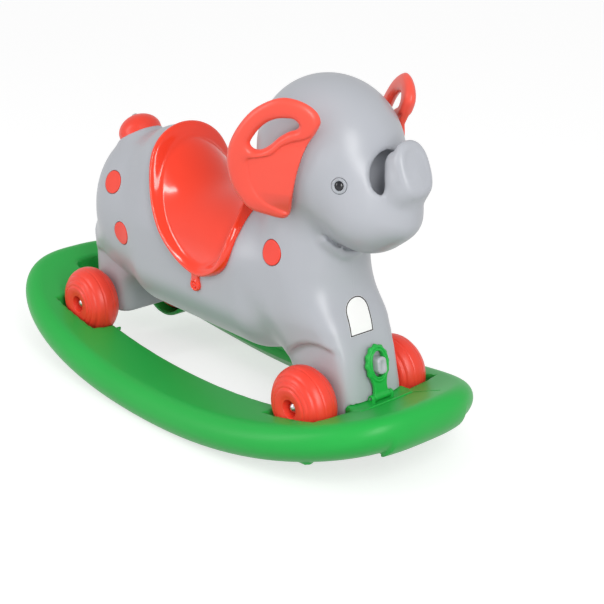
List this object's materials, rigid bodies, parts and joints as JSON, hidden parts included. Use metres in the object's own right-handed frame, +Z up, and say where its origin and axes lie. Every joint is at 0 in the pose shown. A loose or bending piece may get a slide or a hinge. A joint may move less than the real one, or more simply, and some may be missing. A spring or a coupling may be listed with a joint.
{
  "type": "rocking elephant ride-on",
  "caption": "Child's moulded elephant on wheels that stands in a lift-off rocker with a hinged latch, a saddle and ear handles.",
  "frame": {"origin": "on the floor under the middle of the rocker", "axes": "+X the way the elephant faces, +Y its left side, +Z up"},
  "size_m": [0.7986, 0.3374, 0.4815],
  "materials": {
    "rocker_green": "moulded satin",
    "body_grey": "blow-moulded satin",
    "saddle_red": "gloss",
    "ear_red": "moulded satin",
    "wheel_red": "moulded satin",
    "eye_white": "gloss",
    "pupil_black": "gloss",
    "bright_steel": "bright zinc plate"
  },
  "bodies": {
    "rocker": {"rocker_base": "rocker_green", "latch_pin": "bright_steel"},
    "latch_body": {"latch": "rocker_green"},
    "elephant": {"body_shell": "body_grey", "latch_hook": "body_grey", "saddle": "saddle_red", "saddle_screw_left": "saddle_red", "saddle_screw_right": "saddle_red", "ear_left": "ear_red", "ear_right": "ear_red", "eye_ring_left": "eye_white", "eye_ring_right": "eye_white", "eye_pupil_left": "pupil_black", "eye_pupil_right": "pupil_black", "tail_cap": "wheel_red", "tail_screw": "bright_steel", "spot_rump_left": "wheel_red", "spot_thigh_left": "wheel_red", "spot_shoulder_left": "wheel_red", "spot_rump_right": "wheel_red", "spot_thigh_right": "wheel_red", "spot_shoulder_right": "wheel_red", "axle_front": "bright_steel", "axle_rear": "bright_steel", "axle_cap_front_left": "bright_steel", "axle_cap_front_right": "bright_steel", "axle_cap_rear_left": "bright_steel", "axle_cap_rear_right": "bright_steel", "washer_front_left": "bright_steel", "washer_front_right": "bright_steel", "washer_rear_left": "bright_steel", "washer_rear_right": "bright_steel"},
    "front_left_wheel": {"wheel_front_left": "wheel_red"},
    "front_right_wheel": {"wheel_front_right": "wheel_red"},
    "rear_left_wheel": {"wheel_rear_left": "wheel_red"},
    "rear_right_wheel": {"wheel_rear_right": "wheel_red"}
  },
  "joints": [
    {"name": "lift_off", "type": "slide", "parent": "rocker", "child": "elephant", "axis": [0, 0, 1], "range_m": [0, 0.055]},
    {"name": "latch_swing", "type": "hinge", "parent": "rocker", "child": "latch_body", "pos_m": [0.3045, 0, 0.0934], "axis": [0, 1, 0], "range_deg": [0, 80]},
    {"name": "front_left_spin", "type": "hinge", "parent": "elephant", "child": "front_left_wheel", "pos_m": [0.247, 0.0777, 0.0855], "axis": [0, 1, 0], "continuous": true},
    {"name": "front_right_spin", "type": "hinge", "parent": "elephant", "child": "front_right_wheel", "pos_m": [0.247, -0.0777, 0.0855], "axis": [0, 1, 0], "continuous": true},
    {"name": "rear_left_spin", "type": "hinge", "parent": "elephant", "child": "rear_left_wheel", "pos_m": [-0.227, 0.0777, 0.0855], "axis": [0, 1, 0], "continuous": true},
    {"name": "rear_right_spin", "type": "hinge", "parent": "elephant", "child": "rear_right_wheel", "pos_m": [-0.227, -0.0777, 0.0855], "axis": [0, 1, 0], "continuous": true}
  ],
  "couplings": [
    {"joint": "latch_swing", "follows": "lift_off", "rad_per_m": 25}
  ]
}
